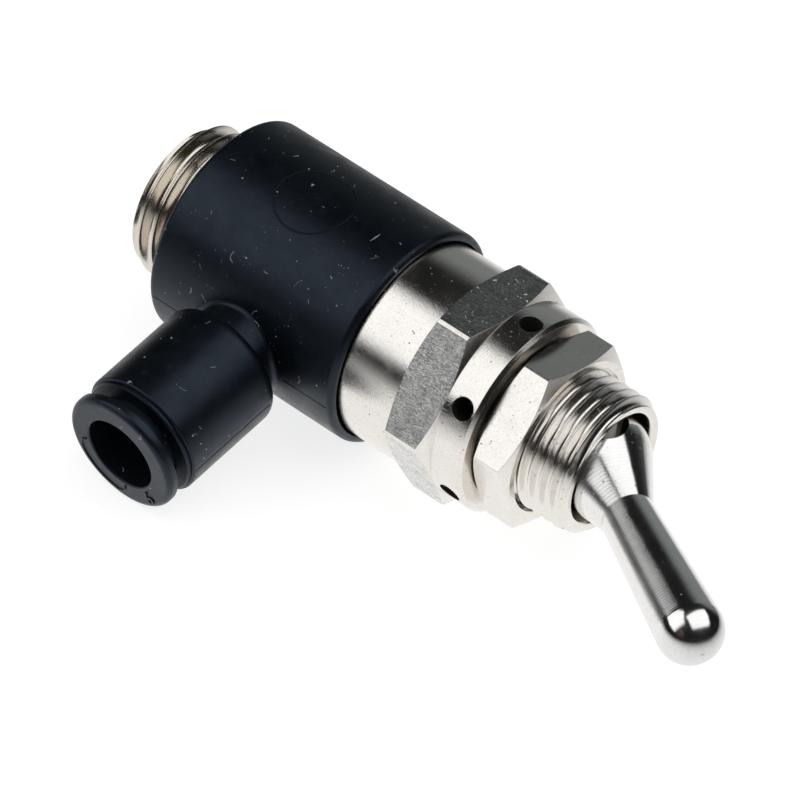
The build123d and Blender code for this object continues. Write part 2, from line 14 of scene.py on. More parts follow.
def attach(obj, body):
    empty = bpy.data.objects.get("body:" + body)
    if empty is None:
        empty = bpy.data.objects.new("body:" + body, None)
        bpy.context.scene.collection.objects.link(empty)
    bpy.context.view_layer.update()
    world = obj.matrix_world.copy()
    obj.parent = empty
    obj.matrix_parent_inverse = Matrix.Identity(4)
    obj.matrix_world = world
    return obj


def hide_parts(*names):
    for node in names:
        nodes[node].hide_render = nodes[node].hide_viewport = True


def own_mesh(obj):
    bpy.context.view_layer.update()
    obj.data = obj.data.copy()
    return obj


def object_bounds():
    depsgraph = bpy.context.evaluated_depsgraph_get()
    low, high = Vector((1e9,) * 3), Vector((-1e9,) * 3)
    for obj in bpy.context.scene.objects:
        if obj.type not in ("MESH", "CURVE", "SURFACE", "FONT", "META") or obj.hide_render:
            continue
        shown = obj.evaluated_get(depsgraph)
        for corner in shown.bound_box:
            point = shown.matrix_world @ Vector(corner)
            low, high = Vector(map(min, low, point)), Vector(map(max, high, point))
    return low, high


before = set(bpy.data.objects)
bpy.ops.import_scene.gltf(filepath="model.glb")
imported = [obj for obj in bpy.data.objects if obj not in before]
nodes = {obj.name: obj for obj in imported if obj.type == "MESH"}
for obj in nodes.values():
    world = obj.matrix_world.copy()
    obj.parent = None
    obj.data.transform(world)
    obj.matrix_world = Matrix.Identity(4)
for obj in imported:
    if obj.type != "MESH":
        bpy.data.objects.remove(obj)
cad_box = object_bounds()
scene = bpy.context.scene
MM = 0.001


# ---- sizes of the part and of its real threads ---------------------------------------------------

PORT_END_X = -4.8
PORT_THREAD_R = 6.58
PORT_ROOT_R = 5.77
PORT_PITCH = 1.337
PORT_CHAMFER_R = 5.9
PORT_FLAT_R = 5.3
PORT_RELIEF_X = (-0.85, -0.2)
PORT_RELIEF_R = 5.75

HEX_FLATS = 17.0
HEX_X = (24.15, 28.25)

VENT_X = 29.85
VENT_R = 0.95
VENT_COUNT = 6
VENT_TURNS = [radians(90 + 360 / VENT_COUNT * k) for k in range(VENT_COUNT)]
VENT_DIRECTIONS = [Vector((0, cos(turn), sin(turn))) for turn in VENT_TURNS]

BUSHING_X = (23.85, 39.35)
BUSHING_CHAMFER = 0.5
BUSHING_BORE_R = 4.1
BUSHING_GROOVE_X = (28.75, 30.95)
BUSHING_GROOVE_R = 5.2
GUIDE_X = (30.95, 32.45)
GUIDE_R = 2.55
MOUTH_R = 4.75
PANEL_THREAD_R = 6.0
PANEL_ROOT_R = 5.39
PANEL_PITCH = 1.0
PANEL_CHAMFER_R = 5.42

PIVOT_X = 37.75
PIN_HOLE_R = 1.1
PIN_HOLE_Z = (-7.0, 5.3)
LEVER_TILT = radians(30)
LEVER_TIP = 19.0

HOUSING_R = 9.33
HOUSING_X = 18.95
BRANCH_R = 5.36
BRANCH_DROOP = radians(12.6)
BRANCH_START = Vector((9.25, 0, 0))
BRANCH_OUT = Vector((0, -cos(BRANCH_DROOP), -sin(BRANCH_DROOP)))
BRANCH_UP = Vector((0, -sin(BRANCH_DROOP), cos(BRANCH_DROOP)))
COLLET_FACE = 22.8


# ---- camera, at the photograph's viewing angle, placed in metres ---------------------------------

CAMERA_PLACE = (0.24211, -0.31783, 0.32496)
LOOK_RIGHT = Vector((0.75585, 0.64546, 0.10984))
LOOK_DOWN = Vector((0.48708, -0.44224, -0.75311))
LOOK_AHEAD = Vector((-0.43753, 0.62274, -0.64866))

camera = bpy.data.objects.new("camera", bpy.data.cameras.new("camera"))
scene.collection.objects.link(camera)
axes = Matrix((LOOK_RIGHT, -LOOK_DOWN, -LOOK_AHEAD)).transposed().to_4x4()
camera.matrix_world = Matrix.Translation(CAMERA_PLACE) @ axes
camera.data.sensor_width = 36
camera.data.lens = 294.1
camera.data.shift_y = -0.0025
camera.data.clip_start = 0.05
camera.data.clip_end = 20
scene.camera = camera


# ---- small helpers -------------------------------------------------------------------------------


def add_object(name, mesh, body=None, material=None):
    """A new object. A material given here becomes the mesh's only one."""
    obj = bpy.data.objects.new(name, mesh)
    scene.collection.objects.link(obj)
    if material:
        mesh.materials.clear()
        mesh.materials.append(material)
    if body:
        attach(obj, body)
    return obj


def mesh_from(bm, name):
    """The bmesh as a named mesh."""
    mesh = bpy.data.meshes.new(name)
    bm.to_mesh(mesh)
    bm.free()
    return mesh


def direction(azimuth, elevation):
    """A unit vector from two angles in degrees."""
    turn, rise = radians(azimuth), radians(elevation)
    return Vector((cos(turn) * cos(rise), sin(turn) * cos(rise), sin(rise)))


def spread(low, high, steps):
    """Evenly spaced numbers from low to high, both included."""
    return [low + (high - low) * k / steps for k in range(steps + 1)]


class Tree:
    """A short way to write node trees."""

    def __init__(self, tree):
        self.tree = tree
        self.tree.nodes.clear()

    def node(self, kind, **settings):
        made = self.tree.nodes.new("ShaderNode" + kind)
        for key, value in settings.items():
            setattr(made, key, value)
        return made

    def link(self, source, target):
        """Links a socket, or sets a plain value."""
        if isinstance(source, bpy.types.NodeSocket):
            self.tree.links.new(source, target)
        else:
            target.default_value = source

    def math(self, operation, a, b=0.0, clamp=False):
        made = self.node("Math", operation=operation, use_clamp=clamp)
        self.link(a, made.inputs[0])
        self.link(b, made.inputs[1])
        return made.outputs[0]

    def times(self, a, b):
        return self.math("MULTIPLY", a, b)

    def most(self, a, b):
        return self.math("MAXIMUM", a, b)

    def vector_math(self, operation, a, b=None, output="Vector"):
        made = self.node("VectorMath", operation=operation)
        self.link(a, made.inputs[0])
        if b is not None:
            self.link(b, made.inputs[1])
        return made.outputs[output]

    def ramp(self, value, low, high, to_low=0.0, to_high=1.0):
        """A smooth step from to_low at low to to_high at high."""
        made = self.node("MapRange", interpolation_type="SMOOTHSTEP", clamp=True)
        self.link(value, made.inputs["Value"])
        for key, number in (("From Min", low), ("From Max", high), ("To Min", to_low), ("To Max", to_high)):
            made.inputs[key].default_value = number
        return made.outputs[0]

    def mix(self, factor, a, b):
        """Colour a at factor 0, colour b at factor 1."""
        made = self.node("Mix", data_type="RGBA")
        self.link(factor, made.inputs["Factor"])
        for socket, value in ((made.inputs[6], a), (made.inputs[7], b)):
            self.link((*value, 1) if isinstance(value, tuple) else value, socket)
        return made.outputs[2]

    def mix_shader(self, factor, a, b):
        """Shader a at factor 0, shader b at factor 1."""
        made = self.node("MixShader")
        self.link(factor, made.inputs[0])
        self.link(a, made.inputs[1])
        self.link(b, made.inputs[2])
        return made.outputs[0]

    def place(self, scale=(1, 1, 1), turn=(0, 0, 0), shift=(0, 0, 0)):
        """Object coordinates in millimetres, stretched, turned and shifted."""
        coords = self.node("TexCoord")
        mapping = self.node("Mapping", vector_type="POINT")
        self.link(coords.outputs["Object"], mapping.inputs["Vector"])
        mapping.inputs["Scale"].default_value = [s / MM for s in scale]
        mapping.inputs["Rotation"].default_value = turn
        mapping.inputs["Location"].default_value = shift
        return mapping.outputs[0]

    def noise(self, scale, detail, rough, vector=None, shift=(0, 0, 0)):
        made = self.node("TexNoise")
        self.link(self.place(shift=shift) if vector is None else vector, made.inputs["Vector"])
        made.inputs["Scale"].default_value = scale
        made.inputs["Detail"].default_value = detail
        made.inputs["Roughness"].default_value = rough
        return made.outputs["Fac"]

    def patches(self, scale, detail, rough, low, high, shift=(0, 0, 0)):
        """0 to 1 in soft-edged patches."""
        return self.ramp(self.noise(scale, detail, rough, shift=shift), low, high)

    def dots(self, density, core, edge, strength=1.0, **placing):
        """Scattered dots, full within core and gone beyond edge, both as shares of a cell's size."""
        cells = self.node("TexVoronoi", feature="F1")
        self.link(self.place(**placing), cells.inputs["Vector"])
        cells.inputs["Scale"].default_value = density
        return self.ramp(cells.outputs["Distance"], core, edge, strength, 0.0)

    def hair(self, scale, gate_scale, shift):
        """Short thin curved lines, such as lint and scratches: pieces of a noise's contour."""
        level = self.noise(scale, 1.0, 0.4, shift=shift)
        line = self.ramp(self.math("ABSOLUTE", self.math("SUBTRACT", level, 0.5)), 0.003, 0.012, 1.0, 0.0)
        gate = self.patches(gate_scale, 1.0, 0.5, 0.655, 0.70, (shift[2], shift[0], shift[1]))
        return self.times(line, gate)

    def lathe(self, vector, spacing, share):
        """Turning lines square to X, uneven in depth."""
        wave = self.node("TexWave", wave_type="BANDS", bands_direction="X", wave_profile="SIN")
        self.link(vector, wave.inputs["Vector"])
        wave.inputs["Scale"].default_value = pi / 10 / spacing
        wave.inputs["Distortion"].default_value = 0.5
        wave.inputs["Detail"].default_value = 2.0
        depth = self.ramp(self.noise(1.3, 3, 0.6), 0.3, 0.7, 0.35, 1.0)
        return self.times(self.times(wave.outputs["Fac"], depth), share)

    def soft_edges(self, radius):
        """A normal rounded over at the edges, as on a real machined piece."""
        made = self.node("Bevel", samples=4)
        made.inputs["Radius"].default_value = radius * MM
        return made.outputs[0]

    def bump(self, height, depth, normal=None, strength=1.0):
        made = self.node("Bump")
        self.link(height, made.inputs["Height"])
        made.inputs["Distance"].default_value = depth * MM
        made.inputs["Strength"].default_value = strength
        if normal is not None:
            self.link(normal, made.inputs["Normal"])
        return made.outputs[0]

    def emission(self, colour, strength=1.0):
        made = self.node("Emission")
        self.link(colour, made.inputs["Color"])
        made.inputs["Strength"].default_value = strength
        return made.outputs[0]

    def diffuse(self, level):
        made = self.node("BsdfDiffuse")
        made.inputs["Color"].default_value = (level, level, level, 1)
        return made.outputs[0]


def bare_material(name):
    """A new material, its tree and the socket for its surface."""
    made = bpy.data.materials.new(name)
    made.use_nodes = True
    t = Tree(made.node_tree)
    return made, t, t.node("OutputMaterial").inputs["Surface"]


def principled(name):
    """A new material, its tree and the inputs of its Principled shader."""
    made, t, surface = bare_material(name)
    shader = t.node("BsdfPrincipled")
    t.link(shader.outputs[0], surface)
    return made, t, shader.inputs


# ---- finishes of the pieces ----------------------------------------------------------------------

# along: coordinates whose X runs down the turned piece, lines: how clear the turning lines are, spacing and
# slope: of the lines, darken: how far they darken the tone, bare: 1 where left as turned, which on the lever
# is also where its darker lines are painted shade, axis: its direction
Turning = namedtuple("Turning", "along lines spacing slope darken bare axis", defaults=(0.0, None, None))


def nickel(name, colour=(0.84, 0.815, 0.78), rough=0.16, edge=0.05, grain=1.0, pits=1.0, turning=None):
    """Nickel plated brass: uneven gloss, fine grain, scattered pits and, where turned, lathe lines."""
    made, t, shader = principled(name)
    shaded = tuple(c * k for c, k in zip(colour, (0.93, 0.92, 0.90)))
    tone = t.mix(t.ramp(t.noise(0.8, 4, 0.6), 0.35, 0.75, 0.0, 0.5), colour, shaded)
    tone = t.mix(t.ramp(t.noise(6.5, 3, 0.8), 0.50, 0.68, 0.0, 0.22 * grain), tone, (0.30, 0.29, 0.28))
    cloud = t.ramp(t.noise(0.35, 3, 0.55), 0.3, 0.7, rough * 0.8, rough * 1.25)
    gloss = t.math("ADD", cloud, t.ramp(t.noise(14, 2, 0.6), 0.5, 0.8, 0.0, 0.10))
    normal = t.bump(t.noise(8, 3, 0.7), 0.0085 * grain, t.soft_edges(edge))
    if turning:
        turned = turning(t)
        lines = t.lathe(turned.along, turned.spacing, turned.lines)
        normal = t.bump(lines, turned.slope * turned.spacing / pi, normal)
        # on the lever, the darker lines of its one-sided strip are painted shade
        tone = t.mix(t.times(lines, turned.darken), tone, (0.25, 0.25, 0.25))
        if turned.bare:
            gloss = t.math("ADD", gloss, t.times(turned.bare, 0.17))
            shader["Anisotropic"].default_value = 0.6
            t.link(turned.axis, shader["Tangent"])
    # plating pits: dark points, in loose groups
    pit = t.times(t.dots(1.7, 0.06, 0.13, pits), t.patches(0.55, 2, 0.5, 0.47, 0.60, shift=(7, 3, 5)))
    fine_pit = t.dots(3.4, 0.05, 0.13, 0.75 * pits, shift=(1, 4, 9))
    fine_pit = t.times(fine_pit, t.patches(0.9, 3, 0.6, 0.50, 0.66, shift=(4, 8, 2)))
    pit = t.most(pit, fine_pit)
    t.link(t.mix(pit, tone, (0.10, 0.09, 0.08)), shader["Base Color"])
    t.link(gloss, shader["Roughness"])
    t.link(t.bump(pit, -0.03, normal), shader["Normal"])
    shader["Metallic"].default_value = 1.0
    return made


def stem_turning(t):
    """Faint turning lines all over the stem."""
    return Turning(along=t.place(), lines=1.0, spacing=0.21, slope=0.018)


def lever_turning(t):
    """The lever is left as turned on one strip, and polished elsewhere and on the tip. The strip's darker
    turning lines are painted shade on that side of the lever.
    """
    strip_angle, strip_core, strip_edge = radians(138), radians(16), radians(30)
    along = t.place(turn=(0, 0, LEVER_TILT))
    split = t.node("SeparateXYZ")
    t.link(along, split.inputs[0])
    outward = t.node("CombineXYZ")
    t.link(t.math("SUBTRACT", split.outputs["Y"], PIVOT_X * sin(LEVER_TILT)), outward.inputs["Y"])
    t.link(split.outputs["Z"], outward.inputs["Z"])
    outward = t.vector_math("NORMALIZE", outward.outputs[0])
    facing = t.vector_math("DOT_PRODUCT", outward, (0, cos(strip_angle), sin(strip_angle)), "Value")
    # painted shade: the strip faces one way only, so its darker turning lines shade that side of the lever
    strip = t.ramp(facing, cos(strip_edge), cos(strip_core))
    tip_start = PIVOT_X * cos(LEVER_TILT) + LEVER_TIP
    bare = t.times(strip, t.ramp(split.outputs["X"], tip_start, tip_start + 0.6, 1.0, 0.0))
    axis = t.node("VectorTransform", vector_type="VECTOR", convert_from="OBJECT", convert_to="WORLD")
    axis.inputs[0].default_value = (cos(LEVER_TILT), -sin(LEVER_TILT), 0)
    lines = t.ramp(bare, 0.0, 1.0, 0.12, 1.0)
    return Turning(along, lines, spacing=0.27, slope=0.080, darken=0.42, bare=bare, axis=axis.outputs[0])


def milled(name):
    """A hexagon flat of the bar: drawn, satin, with fine grain, dents, short scratches and pale motes."""
    made, t, shader = principled(name)
    tone = t.mix(t.patches(0.9, 4, 0.6, 0.35, 0.7), (0.80, 0.80, 0.785), (0.64, 0.645, 0.635))
    tone = t.mix(t.ramp(t.noise(4.2, 4, 0.8), 0.47, 0.60, 0.0, 0.42), tone, (0.24, 0.25, 0.25))
    dent = t.dots(1.5, 0.04, 0.12, scale=(0.7, 1.4, 1.4))
    tone = t.mix(t.times(dent, 0.75), tone, (0.12, 0.12, 0.12))
    scratch = t.most(t.hair(0.8, 1.9, (5, 2, 7)), t.hair(0.55, 1.2, (1, 9, 3)))
    mote = t.dots(1.3, 0.03, 0.08, shift=(8, 3, 1))
    pale = t.most(scratch, mote)
    chatter = t.noise(3.4, 4, 0.75, vector=t.place(scale=(0.55, 2.0, 2.0)))
    normal = t.bump(chatter, 0.034, t.soft_edges(0.05))
    normal = t.bump(dent, -0.04, normal)
    t.link(t.mix(pale, tone, (0.9, 0.9, 0.88)), shader["Base Color"])
    t.link(t.math("SUBTRACT", 1.0, t.times(pale, 0.8)), shader["Metallic"])
    t.link(t.ramp(chatter, 0.3, 0.7, 0.15, 0.27), shader["Roughness"])
    t.link(t.bump(pale, -0.03, normal), shader["Normal"])
    return made


def polymer(name, base=(0.0016, 0.0026, 0.0042), rough=0.38, dust=1.0):
    """Moulded black polymer, satin, with fine grain, dust, lint and light scuffs."""
    made, t, shader = principled(name)
    dust_dot = t.times(t.dots(0.85, 0.045, 0.080), t.patches(0.6, 2, 0.5, 0.42, 0.60, shift=(3, 9, 1)))
    fine_dot = t.times(t.dots(2.4, 0.04, 0.13, shift=(2, 5, 8)), t.patches(0.22, 2, 0.5, 0.53, 0.66))
    bright = t.most(dust_dot, t.times(t.hair(0.60, 0.8, (6, 1, 4)), 0.55))
    bright = t.most(bright, t.times(fine_dot, 0.5))
    scuff = t.ramp(t.noise(0.7, 7, 0.8), 0.55, 0.85, 0.0, 0.05)
    spoil = t.times(t.math("ADD", t.times(bright, 0.9), scuff, clamp=True), dust)
    normal = t.bump(t.noise(6.0, 3, 0.7), 0.010, t.soft_edges(0.06), strength=0.8)
    t.link(t.mix(spoil, base, (0.50, 0.56, 0.62)), shader["Base Color"])
    t.link(t.ramp(t.noise(0.6, 4, 0.6), 0.3, 0.7, rough * 0.88, rough * 1.15), shader["Roughness"])
    t.link(t.bump(spoil, 0.02, normal), shader["Normal"])
    shader["Specular IOR Level"].default_value = 0.48
    shader["Specular Tint"].default_value = (0.585, 0.75, 1.0, 1)
    return made


def plain_metal(name, colour, rough, metallic=1.0):
    """Metal with a faint unevenness."""
    made, t, shader = principled(name)
    darker = tuple(c * 0.85 for c in colour)
    t.link(t.mix(t.patches(1.2, 3, 0.6, 0.3, 0.7), colour, darker), shader["Base Color"])
    t.link(t.ramp(t.noise(3, 3, 0.6), 0.3, 0.7, rough * 0.85, rough * 1.2), shader["Roughness"])
    t.link(t.bump(t.noise(9, 2, 0.5), 0.004, t.soft_edges(0.04), strength=0.3), shader["Normal"])
    shader["Metallic"].default_value = metallic
    return made


def rubber(name):
    """Black rubber of the seals."""
    made, t, shader = principled(name)
    tone = t.mix(t.patches(1.5, 3, 0.6, 0.3, 0.7), (0.012, 0.012, 0.013), (0.022, 0.022, 0.023))
    t.link(tone, shader["Base Color"])
    t.link(t.ramp(t.noise(4, 3, 0.6), 0.3, 0.7, 0.45, 0.6), shader["Roughness"])
    t.link(t.bump(t.noise(12, 2, 0.5), 0.005, strength=0.4), shader["Normal"])
    return made


mat_body = nickel("nickel_turned", rough=0.17, turning=stem_turning)
mat_port = nickel("nickel_port", colour=(0.74, 0.69, 0.62), rough=0.16, edge=0.03, grain=0.5)
mat_flat = milled("nickel_milled")
mat_bushing = nickel("nickel_thread", rough=0.14, edge=0.03, grain=0.6, pits=0.6)
mat_nut = nickel("nickel_nut", rough=0.15, pits=0.8)
mat_lever = nickel("nickel_lever", colour=(0.86, 0.86, 0.85), rough=0.13, grain=0.35, turning=lever_turning)
mat_pin = plain_metal("steel_pin", (0.92, 0.88, 0.78), 0.42, metallic=0.1)
mat_spring = plain_metal("spring_steel", (0.55, 0.55, 0.56), 0.25)
mat_brass = plain_metal("brass_inner", (0.78, 0.60, 0.30), 0.25)
# painted shade: the vents' walls are near black, so the holes look dark inside
mat_vent_painted_shade = plain_metal("vent_wall_painted_shade", (0.035, 0.033, 0.030), 0.6, metallic=0.4)
mat_polymer = polymer("black_polymer")
mat_collet = polymer("collet_polymer", base=(0.0045, 0.0062, 0.0085), rough=0.36)
mat_line = polymer("black_line", base=(0.0012, 0.0014, 0.0016), rough=0.55, dust=0.0)
mat_rubber = rubber("seal_rubber")

FINISHES = (
    (mat_body, ["valve_body"]),
    (mat_bushing, ["panel_bushing"]),
    (mat_nut, ["panel_nut"]),
    (mat_lever, ["lever"]),
    (mat_pin, ["lever_pin"]),
    (mat_brass, ["spool", "spring_seat"]),
    (mat_spring, ["return_spring", "port_circlip", "housing_clip", "gripping_ring"]),
    (mat_polymer, ["plunger", "housing", "end_ring", "seal_spacer"]),
    (mat_collet, ["release_collet"]),
    (mat_rubber, ["supply_seal", "spool_guide_seal", "exhaust_seal", "port_seal", "tube_seal"]),
    (mat_rubber, ["housing_seal_rear", "housing_seal_front"]),
)
for finish, names in FINISHES:
    for name in names:
        nodes[name].data.materials.clear()
        nodes[name].data.materials.append(finish)


# ---- screw threads -------------------------------------------------------------------------------

TURN = 144
CREST_WIDTH = 0.12
CREST_ROUND = 0.06
VALLEY_STEPS = 12
VALLEY_POWER = 1.9


def thread_profile(major, minor):
    """(share of a pitch, radius) along one pitch: a small rounded crest, then a wide smooth valley."""
    depth = major - minor
    shoulder = major - CREST_ROUND * depth
    points = [(0.0, shoulder), (CREST_WIDTH / 4, major)]
    points += [(CREST_WIDTH * 3 / 4, major), (CREST_WIDTH, shoulder)]
    for k in range(1, VALLEY_STEPS):
        share = k / VALLEY_STEPS
        rise = (1 - CREST_ROUND) * depth * abs(2 * share - 1) ** VALLEY_POWER
        points.append((CREST_WIDTH + (1 - CREST_WIDTH) * share, minor + rise))
    return points


def radius_at(profile, share):
    """The thread profile's radius at any number of pitches from its start."""
    share %= 1.0
    table = profile + [(1.0, profile[0][1])]
    for (before, r_before), (after, r_after) in zip(table, table[1:]):
        if before <= share <= after:
            return r_before + (r_after - r_before) * (share - before) / (after - before)


def round_point(bm, x, r, angle):
    return bm.verts.new((x * MM, r * cos(angle) * MM, r * sin(angle) * MM))


def ring(bm, x, r):
    return [round_point(bm, x, r, 2 * pi * j / TURN) for j in range(TURN)]


def thread_grid(bm, start, end, pitch, profile, limit, lead):
    """Faces of a right-hand thread round X from start to end. limit(x) caps the radius, for chamfers and
    undercuts, and lead moves the crest along. Returns the rings of vertices at both ends."""
    per_pitch = len(profile)
    rows = per_pitch * (math.ceil((end - start) / pitch) + 2)
    columns = []
    for j in range(TURN):
        shift = lead + pitch * j / TURN
        column = []
        for k in range(rows):
            pitches = k // per_pitch + profile[k % per_pitch][0]
            x = start - pitch + shift % pitch + pitch * pitches
            x = min(max(x, start), end)
            r = min(radius_at(profile, (x - start - shift) / pitch), limit(x))
            column.append(round_point(bm, x, r, 2 * pi * j / TURN))
        columns.append(column)
    for j in range(TURN):
        beside = (j + 1) % TURN
        here, there = columns[j], columns[beside]
        # where the shift passes a whole pitch, the crest lies one pitch of rows lower in the column beside
        step_here = (lead + pitch * j / TURN) % pitch
        step_there = (lead + pitch * beside / TURN) % pitch
        offset = -per_pitch if step_there < step_here - 1e-9 else 0
        for k in range(rows - 1):
            low, high = (min(max(row + offset, 0), rows - 1) for row in (k, k + 1))
            corners = list(dict.fromkeys((here[k], here[k + 1], there[high], there[low])))
            if len(corners) > 2:
                bm.faces.new(corners)
    return [column[0] for column in columns], [column[-1] for column in columns]


def join_rings(bm, a, b):
    """Triangles between two rings round X, whatever their counts."""

    def angle(v):
        return math.atan2(v.co.z, v.co.y) % (2 * pi)

    def next_angle(points, k):
        if k + 1 < len(points):
            return angle(points[k + 1])
        if k < len(points):
            return 2 * pi + angle(points[0])
        return math.inf

    a, b = sorted(a, key=angle), sorted(b, key=angle)
    i = j = 0
    while i < len(a) or j < len(b):
        if next_angle(a, i) <= next_angle(b, j):
            bm.faces.new((a[i % len(a)], a[(i + 1) % len(a)], b[j % len(b)]))
            i += 1
        else:
            bm.faces.new((a[i % len(a)], b[(j + 1) % len(b)], b[j % len(b)]))
            j += 1


def clean(bm, merge, sliver):
    """Merges points closer than merge, dissolves slivers and makes the faces' sides agree."""
    bmesh.ops.remove_doubles(bm, verts=bm.verts, dist=merge * MM)
    bmesh.ops.dissolve_degenerate(bm, edges=bm.edges, dist=sliver * MM)
    bmesh.ops.recalc_face_normals(bm, faces=bm.faces)


def drill(obj, bottom, top, r):
    """Takes a round bar between two points out of the object, for good."""
    bottom, top = Vector(bottom), Vector(top)
    turn = (top - bottom).to_track_quat("Z", "Y").to_matrix().to_4x4()
    size = {"radius1": r * MM, "radius2": r * MM, "depth": (top - bottom).length * MM}
    place = Matrix.Translation((bottom + top) / 2 * MM) @ turn
    bm = bmesh.new()
    bmesh.ops.create_cone(bm, cap_ends=True, segments=32, matrix=place, **size)
    tool = add_object("tool", mesh_from(bm, "rod"))
    modifier = obj.modifiers.new("cut", "BOOLEAN")
    modifier.operation = "DIFFERENCE"
    modifier.solver = "EXACT"
    modifier.object = tool
    bpy.context.view_layer.update()
    made = bpy.data.meshes.new_from_object(obj.evaluated_get(bpy.context.evaluated_depsgraph_get()))
    obj.modifiers.clear()
    obj.data = made
    bpy.data.objects.remove(tool)


def paint_vent_shade(mesh):
    """Gives the walls of the vents a near-black, dull finish: painted shade inside the holes."""
    mesh.materials.append(mat_vent_painted_shade)
    for face in mesh.polygons:
        middle = face.center / MM - Vector((VENT_X, 0, 0))
        nearest = max(VENT_DIRECTIONS, key=middle.dot)
        past_bore = math.hypot(middle.y, middle.z) > BUSHING_BORE_R + 0.2
        in_vent = (middle - nearest * middle.dot(nearest)).length < VENT_R + 0.05
        if past_bore and in_vent and abs(face.normal.dot(middle.normalized())) < 0.3:
            face.material_index = len(mesh.materials) - 1


def add_bushing():
    """The panel bushing, turned, with its M12x1 thread up to the mouth, its pin hole and the vents."""
    back, front = BUSHING_X
    groove_back, groove_front = BUSHING_GROOVE_X
    guide_back, guide_front = GUIDE_X
    turned = [(front, 5.08), (front - 0.02, 4.97), (front - 0.08, 4.84), (front - 0.2, 4.76)]
    turned += [(front - 0.4, MOUTH_R), (guide_front, MOUTH_R), (guide_front, GUIDE_R), (guide_back, GUIDE_R)]
    turned += [(guide_back, BUSHING_BORE_R), (back, BUSHING_BORE_R)]
    turned += [(back, PANEL_THREAD_R - BUSHING_CHAMFER), (back + BUSHING_CHAMFER, PANEL_THREAD_R)]
    turned += [(groove_back, PANEL_THREAD_R), (groove_back, BUSHING_GROOVE_R)]
    turned += [(groove_front, BUSHING_GROOVE_R)]

    def limit(x):
        return min(PANEL_THREAD_R, PANEL_CHAMFER_R + (front - x))

    bm = bmesh.new()
    profile = thread_profile(PANEL_THREAD_R, PANEL_ROOT_R)
    first, last = thread_grid(bm, groove_front, front, PANEL_PITCH, profile, limit, lead=0.35)
    rings = [last] + [ring(bm, x, r) for x, r in turned] + [first]
    for a, b in zip(rings, rings[1:]):
        join_rings(bm, a, b)
    clean(bm, merge=0.0015, sliver=0.00075)
    bushing = add_object("bushing_threaded", mesh_from(bm, "bushing_threaded"), material=mat_bushing)
    drill(bushing, (PIVOT_X, 0, PIN_HOLE_Z[0]), (PIVOT_X, 0, PIN_HOLE_Z[1]), PIN_HOLE_R)
    for out in VENT_DIRECTIONS:
        middle = Vector((VENT_X, 0, 0))
        drill(bushing, middle + out * 3, middle + out * 7, VENT_R)
    bushing.data.shade_smooth()
    bushing.data.set_sharp_from_angle(angle=radians(38))
    paint_vent_shade(bushing.data)
    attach(bushing, "valve")
    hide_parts("panel_bushing")


def add_stem():
    """The CAD stem, welded, with its plain thread cylinder changed for a real G1/4 thread."""
    relief_x = PORT_RELIEF_X[0]

    def limit(x):
        end_chamfer = PORT_CHAMFER_R + x - PORT_END_X
        relief_chamfer = PORT_RELIEF_R + 0.02 + (relief_x - x) * 1.5
        return min(PORT_THREAD_R, end_chamfer, relief_chamfer)

    def on_thread(v):
        return v.co.x / MM < relief_x + 0.01 and math.hypot(v.co.y, v.co.z) / MM > PORT_RELIEF_R - 0.05

    def on_end(v):
        return abs(v.co.x / MM - PORT_END_X) < 0.01

    def on_flat(face, middle):
        height = middle.y * face.normal.y + middle.z * face.normal.z
        beside_x = HEX_X[0] - 0.15 < middle.x < HEX_X[1] + 0.15
        return beside_x and abs(face.normal.x) < 0.01 and abs(height - HEX_FLATS / 2) < 0.02

    bm = bmesh.new()
    bm.from_mesh(nodes["valve_body"].data)
    bmesh.ops.remove_doubles(bm, verts=bm.verts, dist=0.0001 * MM)
    plain = [f for f in bm.faces if all(map(on_thread, f.verts)) or all(map(on_end, f.verts))]
    bmesh.ops.delete(bm, geom=plain, context="FACES")
    open_verts = {v for e in bm.edges if e.is_boundary for v in e.verts}
    bore_rim = [v for v in open_verts if v.co.x / MM < PORT_END_X + 0.8]
    relief_rim = [v for v in open_verts if v.co.x / MM > relief_x - 0.15]
    profile = thread_profile(PORT_THREAD_R, PORT_ROOT_R)
    first, last = thread_grid(bm, PORT_END_X, relief_x, PORT_PITCH, profile, limit, lead=0.5)
    flat_end = ring(bm, PORT_END_X, PORT_FLAT_R)
    join_rings(bm, bore_rim, flat_end)
    join_rings(bm, flat_end, first)
    join_rings(bm, last, relief_rim)
    clean(bm, merge=0.0008, sliver=0.0005)
    bm.normal_update()
    body, flat, port = range(3)
    for face in bm.faces:
        middle = face.calc_center_median() / MM
        face.material_index = flat if on_flat(face, middle) else body
        if middle.x < -0.1:
            face.material_index = port
        face.smooth = True
    # turned and milled faces keep their crisp edges, the thread's flanks run into each other
    for edge in bm.edges:
        in_thread = all(v.co.x / MM < relief_x - 0.01 for v in edge.verts)
        edge.smooth = edge.is_manifold and edge.calc_face_angle(0) < radians(40 if in_thread else 13)
    mesh = mesh_from(bm, "valve_stem")
    # the faces keep their numbers only if the materials are added here and not given to add_object
    stem = add_object("valve_stem", mesh)
    for finish in (mat_body, mat_flat, mat_port):
        mesh.materials.append(finish)
    paint_vent_shade(mesh)
    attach(stem, "valve")
    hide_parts("valve_body")


add_bushing()
add_stem()

# a copy of the return spring, carried with the valve
coil = add_object("spring_coil", nodes["return_spring"].data.copy(), body="valve")
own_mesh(coil)
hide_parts("return_spring")


# ---- parting lines of the mould, the plain round on the barrel, marks on the collet --------------

SEAM = {"width": 0.10, "height": 0.025, "body": "elbow"}
SEAM_DROP = 0.5
ROUND_X = 9.45
ROUND_ANGLE = radians(100.8)
ROUND_R = 3.25
ROUND_STEPS = 96
ARC_R = 4.45
NUMERAL_R = 4.25


